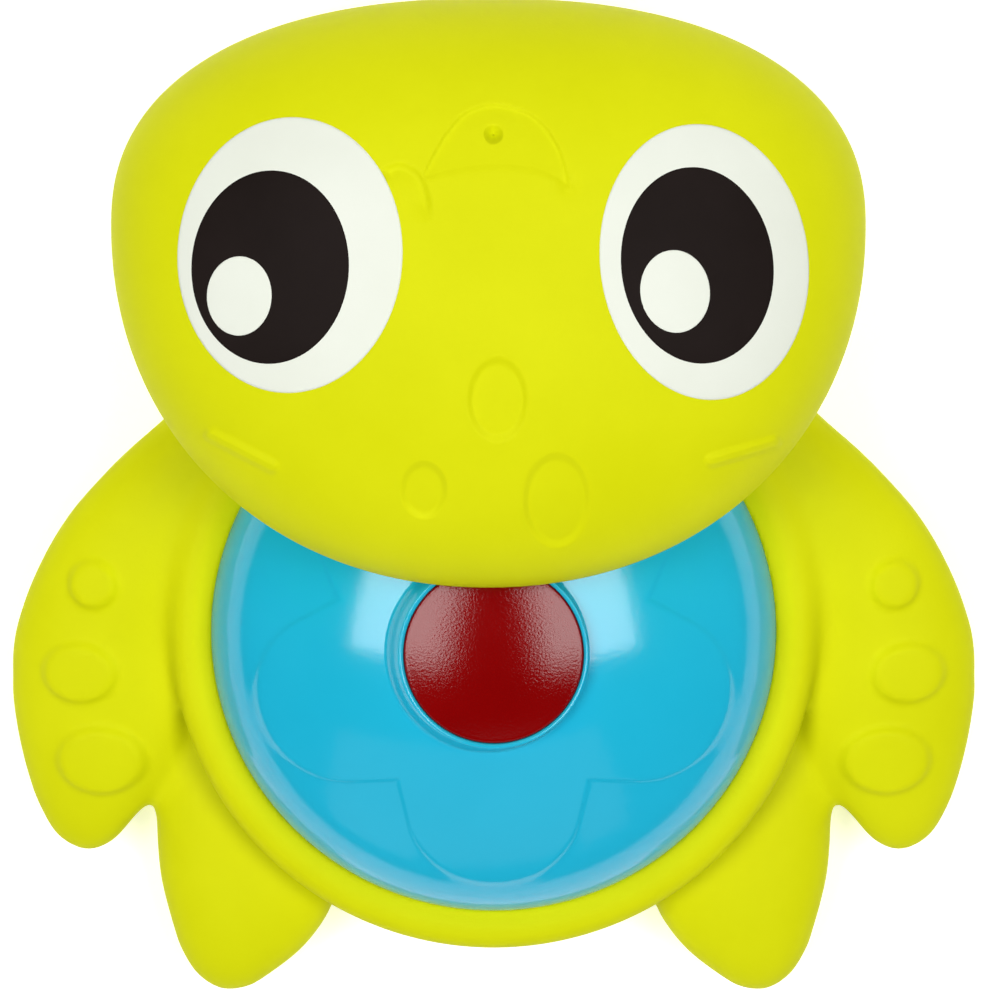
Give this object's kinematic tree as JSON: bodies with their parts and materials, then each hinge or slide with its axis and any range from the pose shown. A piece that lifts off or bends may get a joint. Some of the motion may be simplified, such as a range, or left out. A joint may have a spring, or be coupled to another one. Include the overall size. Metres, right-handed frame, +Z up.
{
  "type": "squeaky bath toy",
  "caption": "Soft turtle bath toy with moulded flippers, a glossy domed shell and a press button that drives a bellows squeaker; air leaves through a pinhole at the mouth.",
  "frame": {"origin": "on the table under the belly, on the axis of the domed shell", "axes": "+Z up, the snout towards -Y and the tail towards +Y, the turtle's left side towards +X"},
  "size_m": [0.1162, 0.1227, 0.0587],
  "materials": {
    "lime_vinyl": "matte",
    "blue_shell": "glossy",
    "red_button": "glossy",
    "bellows_rubber": "matte",
    "deck_plastic": "satin",
    "tube_plastic": "satin",
    "reed_holder": "satin",
    "reed_brass": "satin",
    "screw_steel": "satin",
    "eye_white": "satin print",
    "eye_black": "satin print"
  },
  "bodies": {
    "turtle": {"body": "lime_vinyl", "head": "lime_vinyl", "shell_dome": "blue_shell", "squeaker_deck": "deck_plastic", "squeaker_tube": "tube_plastic", "reed_block": "reed_holder", "reed_wedge": "reed_holder", "deck_screws": "screw_steel", "left_eye_white": "eye_white", "left_eye_pupil": "eye_black", "left_eye_glint": "eye_white", "right_eye_white": "eye_white", "right_eye_pupil": "eye_black", "right_eye_glint": "eye_white", "squeaker_bellows": "bellows_rubber"},
    "button": {"squeak_button": "red_button"},
    "reed": {"squeaker_reed": "reed_brass"}
  },
  "joints": [
    {"name": "button_press", "type": "slide", "parent": "turtle", "child": "button", "axis": [0, 0, -1], "range_m": [0, 0.003], "stiffness_N_per_m": 400, "springref_m": -0.0008, "deforming": ["squeaker_bellows"]},
    {"name": "reed_flutter", "type": "hinge", "parent": "turtle", "child": "reed", "pos_m": [0, 0, 0.0148], "axis": [-1, 0, 0], "range_deg": [0, 6], "stiffness_Nm_per_rad": 0.00002}
  ]
}
